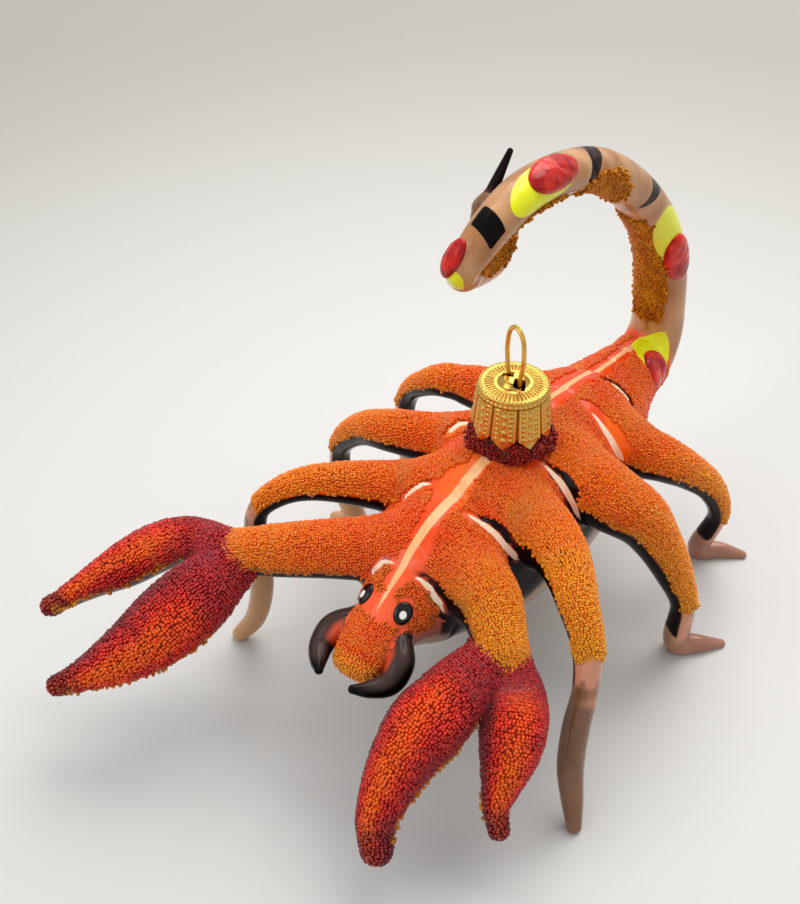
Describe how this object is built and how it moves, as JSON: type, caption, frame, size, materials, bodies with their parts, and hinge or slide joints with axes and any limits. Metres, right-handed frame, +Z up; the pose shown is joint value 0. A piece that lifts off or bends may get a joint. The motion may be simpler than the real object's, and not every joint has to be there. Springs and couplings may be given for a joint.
{
  "type": "hanging glass scorpion ornament",
  "caption": "Blown-glass scorpion with bead-coated claws and legs, a tail curled over its back, and a crown cap with a wire loop to hang it by.",
  "frame": {"origin": "middle of the footprint, on the ground that the feet stand on", "axes": "+Z up, head towards -Y, the animal's left side towards +X"},
  "size_m": [0.0968, 0.135, 0.0974],
  "materials": {
    "orange_glass": "painted glossy glass",
    "tan_glass": "pearly painted glass",
    "plum_glass": "dark glossy glass",
    "amber_beads": "fine glass beads",
    "ruby_beads": "fine glass beads",
    "wine_beads": "fine glass beads",
    "gold_beads": "fine glass beads",
    "black_enamel": "glossy enamel",
    "red_enamel": "glossy enamel",
    "gold_metal": "embossed and lacquered"
  },
  "bodies": {
    "scorpion": {"body_shell": "orange_glass", "head": "orange_glass", "left_claw_arm": "orange_glass", "left_claw_inner_finger": "orange_glass", "left_claw_outer_finger": "orange_glass", "right_claw_arm": "orange_glass", "right_claw_inner_finger": "orange_glass", "right_claw_outer_finger": "orange_glass", "left_front_leg": "orange_glass", "left_middle_leg": "orange_glass", "left_rear_leg": "orange_glass", "right_front_leg": "orange_glass", "right_middle_leg": "orange_glass", "right_rear_leg": "orange_glass", "tail": "tan_glass", "sting_bulb": "tan_glass", "sting": "plum_glass", "left_fang": "plum_glass", "right_fang": "plum_glass", "left_claw_arm_beads": "amber_beads", "left_claw_inner_finger_beads": "ruby_beads", "left_claw_outer_finger_beads": "ruby_beads", "right_claw_arm_beads": "amber_beads", "right_claw_inner_finger_beads": "ruby_beads", "right_claw_outer_finger_beads": "ruby_beads", "left_front_leg_beads": "amber_beads", "left_middle_leg_beads": "amber_beads", "left_rear_leg_beads": "amber_beads", "right_front_leg_beads": "amber_beads", "right_middle_leg_beads": "amber_beads", "right_rear_leg_beads": "amber_beads", "left_back_beads": "amber_beads", "right_back_beads": "amber_beads", "head_beads": "amber_beads", "neck_beads": "wine_beads", "tail_rear_beads": "gold_beads", "tail_top_beads": "gold_beads", "tail_front_beads": "gold_beads", "tail_base_jewel": "red_enamel", "tail_rear_jewel": "red_enamel", "tail_top_jewel": "red_enamel", "tail_tip_jewel": "red_enamel", "left_eye": "black_enamel", "right_eye": "black_enamel"},
    "cap": {"crown_cap": "gold_metal"},
    "hanger": {"hanger_wire": "gold_metal"}
  },
  "joints": [
    {"name": "cap_lift", "type": "slide", "parent": "scorpion", "child": "cap", "axis": [0, 0, 1], "range_m": [0, 0.0085]},
    {"name": "hanger_slide", "type": "slide", "parent": "cap", "child": "hanger", "axis": [0, 0, 1], "range_m": [0, 0.002]}
  ]
}
